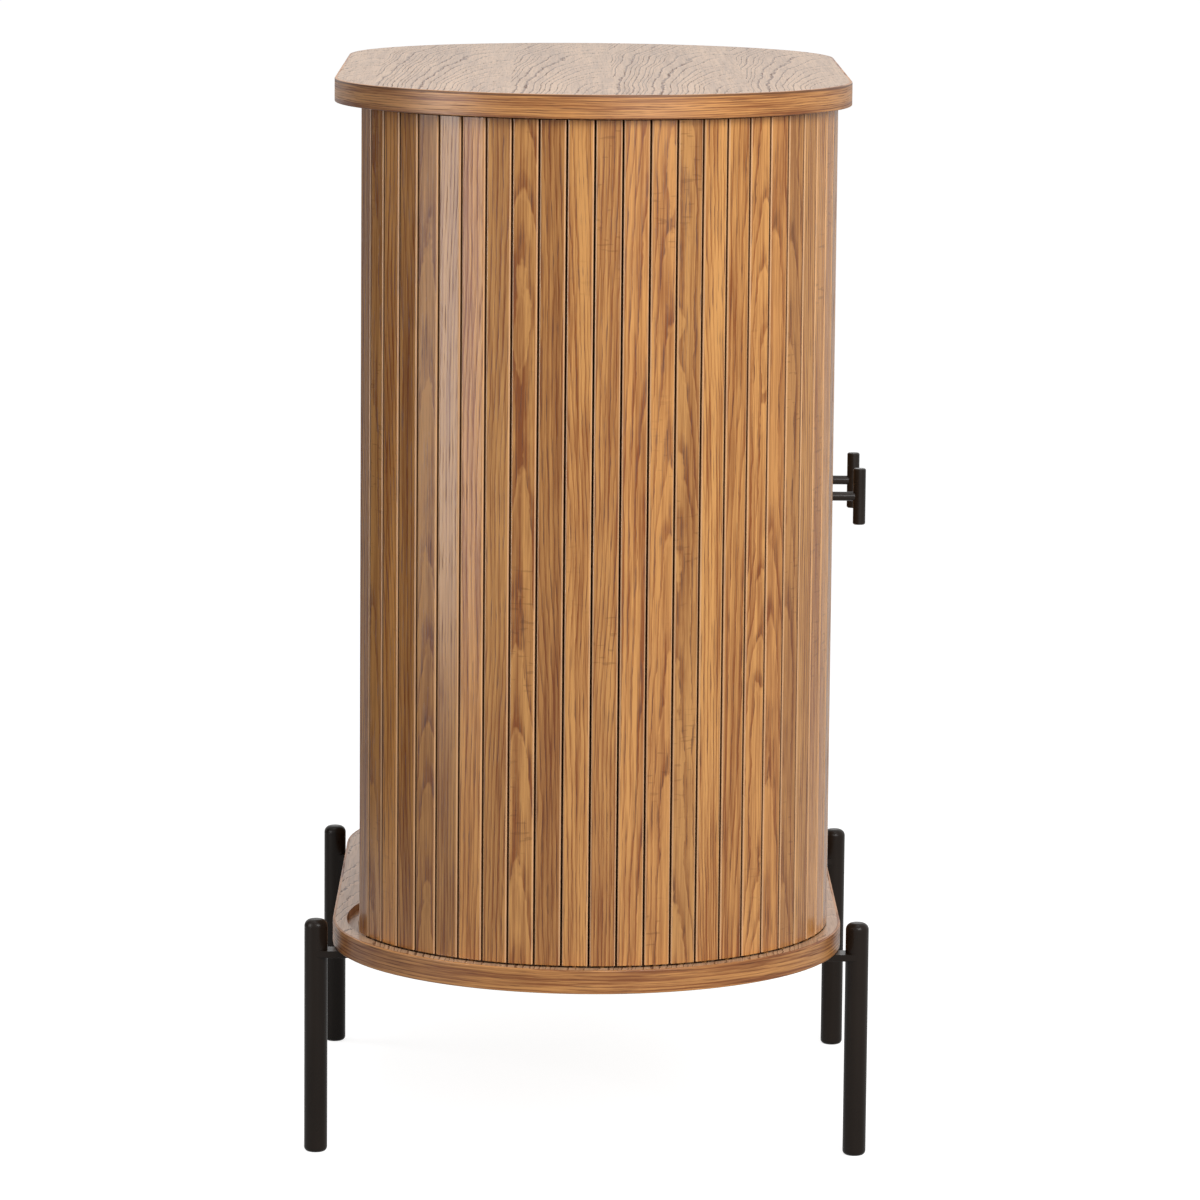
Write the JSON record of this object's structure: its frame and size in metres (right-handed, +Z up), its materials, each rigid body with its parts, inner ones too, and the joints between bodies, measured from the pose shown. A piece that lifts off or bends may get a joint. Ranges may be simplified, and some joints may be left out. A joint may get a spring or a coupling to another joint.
{
  "type": "tambour cabinet",
  "caption": "Upright oak cabinet with rounded ends on four black rod legs; slatted tambour doors part at the middle of the front and slide round the ends.",
  "frame": {"origin": "on the floor, under the middle of the cabinet's plan", "axes": "+Z up, -Y towards the front where the doors part, +X towards the right-hand end as seen from the front"},
  "size_m": [0.7898, 0.486, 0.925],
  "materials": {
    "oak_veneer": "satin lacquered oak veneer",
    "oak_edging": "satin lacquered oak edging",
    "oak_slats": "satin lacquered solid oak",
    "oak_panel": "lacquered oak veneered board",
    "stop_wood": "plain hardwood",
    "black_steel": "black powder coat",
    "black_knob": "satin black",
    "screw_steel": "blackened steel",
    "pin_steel": "nickel plated",
    "canvas": "unbleached cotton canvas",
    "felt": "dark felt"
  },
  "bodies": {
    "carcass": {"top_panel": "oak_veneer", "top_edging": "oak_edging", "bottom_panel": "oak_veneer", "bottom_edging": "oak_edging", "back_panel": "oak_panel", "back_screws": "screw_steel", "left_upright": "oak_panel", "right_upright": "oak_panel", "shelf": "oak_panel", "shelf_pins": "pin_steel", "leg_front_left": "black_steel", "leg_front_right": "black_steel", "leg_back_left": "black_steel", "leg_back_right": "black_steel", "left_leg_bar": "black_steel", "right_leg_bar": "black_steel", "left_bar_screws": "screw_steel", "right_bar_screws": "screw_steel", "left_track_stops": "stop_wood", "right_track_stops": "stop_wood"},
    "left_door_end": {"left_end_slats": "oak_slats", "left_canvas": "canvas"},
    "left_door_lead": {"left_slat_1": "oak_slats", "left_lead_felt": "felt"},
    "left_door_slat_2": {"left_slat_2": "oak_slats"},
    "left_door_slat_3": {"left_slat_3": "oak_slats", "left_knob_stem": "black_knob", "left_knob_bar": "black_knob", "left_knob_screw": "screw_steel"},
    "left_door_slat_4": {"left_slat_4": "oak_slats"},
    "left_door_slat_5": {"left_slat_5": "oak_slats"},
    "left_door_slat_6": {"left_slat_6": "oak_slats"},
    "left_door_slat_7": {"left_slat_7": "oak_slats"},
    "left_door_slat_8": {"left_slat_8": "oak_slats"},
    "right_door_end": {"right_end_slats": "oak_slats", "right_canvas": "canvas"},
    "right_door_lead": {"right_slat_1": "oak_slats", "right_lead_felt": "felt"},
    "right_door_slat_2": {"right_slat_2": "oak_slats"},
    "right_door_slat_3": {"right_slat_3": "oak_slats", "right_knob_stem": "black_knob", "right_knob_bar": "black_knob", "right_knob_screw": "screw_steel"},
    "right_door_slat_4": {"right_slat_4": "oak_slats"},
    "right_door_slat_5": {"right_slat_5": "oak_slats"},
    "right_door_slat_6": {"right_slat_6": "oak_slats"},
    "right_door_slat_7": {"right_slat_7": "oak_slats"},
    "right_door_slat_8": {"right_slat_8": "oak_slats"}
  },
  "joints": [
    {"name": "left_door_travel", "type": "hinge", "parent": "carcass", "child": "left_door_end", "pos_m": [-0.175, 0, 0.5515], "axis": [0, 0, -1], "range_deg": [0, 47.05]},
    {"name": "left_lead_slide", "type": "slide", "parent": "carcass", "child": "left_door_lead", "axis": [-1, 0, 0], "range_m": [0, 0.16261]},
    {"name": "left_slat_2_turn", "type": "hinge", "parent": "carcass", "child": "left_door_slat_2", "pos_m": [-0.10469, 1.26419, 0.5515], "axis": [0, 0, -1], "range_deg": [0, 6.37]},
    {"name": "left_slat_3_turn", "type": "hinge", "parent": "carcass", "child": "left_door_slat_3", "pos_m": [-0.1157, 0.53155, 0.5515], "axis": [0, 0, -1], "range_deg": [0, 12.73]},
    {"name": "left_slat_4_turn", "type": "hinge", "parent": "carcass", "child": "left_door_slat_4", "pos_m": [-0.1267, 0.28714, 0.5515], "axis": [0, 0, -1], "range_deg": [0, 19.1]},
    {"name": "left_slat_5_turn", "type": "hinge", "parent": "carcass", "child": "left_door_slat_5", "pos_m": [-0.1377, 0.1651, 0.5515], "axis": [0, 0, -1], "range_deg": [0, 25.46]},
    {"name": "left_slat_6_turn", "type": "hinge", "parent": "carcass", "child": "left_door_slat_6", "pos_m": [-0.14869, 0.09225, 0.5515], "axis": [0, 0, -1], "range_deg": [0, 31.83]},
    {"name": "left_slat_7_turn", "type": "hinge", "parent": "carcass", "child": "left_door_slat_7", "pos_m": [-0.1597, 0.0442, 0.5515], "axis": [0, 0, -1], "range_deg": [0, 38.2]},
    {"name": "left_slat_8_turn", "type": "hinge", "parent": "carcass", "child": "left_door_slat_8", "pos_m": [-0.1707, 0.01051, 0.5515], "axis": [0, 0, -1], "range_deg": [0, 44.56]},
    {"name": "right_door_travel", "type": "hinge", "parent": "carcass", "child": "right_door_end", "pos_m": [0.175, 0, 0.5515], "axis": [0, 0, 1], "range_deg": [0, 47.05]},
    {"name": "right_lead_slide", "type": "slide", "parent": "carcass", "child": "right_door_lead", "axis": [1, 0, 0], "range_m": [0, 0.16261]},
    {"name": "right_slat_2_turn", "type": "hinge", "parent": "carcass", "child": "right_door_slat_2", "pos_m": [0.10469, 1.26419, 0.5515], "axis": [0, 0, 1], "range_deg": [0, 6.37]},
    {"name": "right_slat_3_turn", "type": "hinge", "parent": "carcass", "child": "right_door_slat_3", "pos_m": [0.1157, 0.53155, 0.5515], "axis": [0, 0, 1], "range_deg": [0, 12.73]},
    {"name": "right_slat_4_turn", "type": "hinge", "parent": "carcass", "child": "right_door_slat_4", "pos_m": [0.1267, 0.28714, 0.5515], "axis": [0, 0, 1], "range_deg": [0, 19.1]},
    {"name": "right_slat_5_turn", "type": "hinge", "parent": "carcass", "child": "right_door_slat_5", "pos_m": [0.1377, 0.1651, 0.5515], "axis": [0, 0, 1], "range_deg": [0, 25.46]},
    {"name": "right_slat_6_turn", "type": "hinge", "parent": "carcass", "child": "right_door_slat_6", "pos_m": [0.14869, 0.09225, 0.5515], "axis": [0, 0, 1], "range_deg": [0, 31.83]},
    {"name": "right_slat_7_turn", "type": "hinge", "parent": "carcass", "child": "right_door_slat_7", "pos_m": [0.1597, 0.0442, 0.5515], "axis": [0, 0, 1], "range_deg": [0, 38.2]},
    {"name": "right_slat_8_turn", "type": "hinge", "parent": "carcass", "child": "right_door_slat_8", "pos_m": [0.1707, 0.01051, 0.5515], "axis": [0, 0, 1], "range_deg": [0, 44.56]}
  ],
  "couplings": [
    {"joint": "left_lead_slide", "follows": "left_door_travel", "m_per_rad": 0.198},
    {"joint": "left_slat_2_turn", "follows": "left_door_travel", "ratio": 0.13529},
    {"joint": "left_slat_3_turn", "follows": "left_door_travel", "ratio": 0.27059},
    {"joint": "left_slat_4_turn", "follows": "left_door_travel", "ratio": 0.40588},
    {"joint": "left_slat_5_turn", "follows": "left_door_travel", "ratio": 0.54117},
    {"joint": "left_slat_6_turn", "follows": "left_door_travel", "ratio": 0.67646},
    {"joint": "left_slat_7_turn", "follows": "left_door_travel", "ratio": 0.81176},
    {"joint": "left_slat_8_turn", "follows": "left_door_travel", "ratio": 0.94705},
    {"joint": "right_lead_slide", "follows": "right_door_travel", "m_per_rad": 0.198},
    {"joint": "right_slat_2_turn", "follows": "right_door_travel", "ratio": 0.13529},
    {"joint": "right_slat_3_turn", "follows": "right_door_travel", "ratio": 0.27059},
    {"joint": "right_slat_4_turn", "follows": "right_door_travel", "ratio": 0.40588},
    {"joint": "right_slat_5_turn", "follows": "right_door_travel", "ratio": 0.54117},
    {"joint": "right_slat_6_turn", "follows": "right_door_travel", "ratio": 0.67646},
    {"joint": "right_slat_7_turn", "follows": "right_door_travel", "ratio": 0.81176},
    {"joint": "right_slat_8_turn", "follows": "right_door_travel", "ratio": 0.94705}
  ]
}
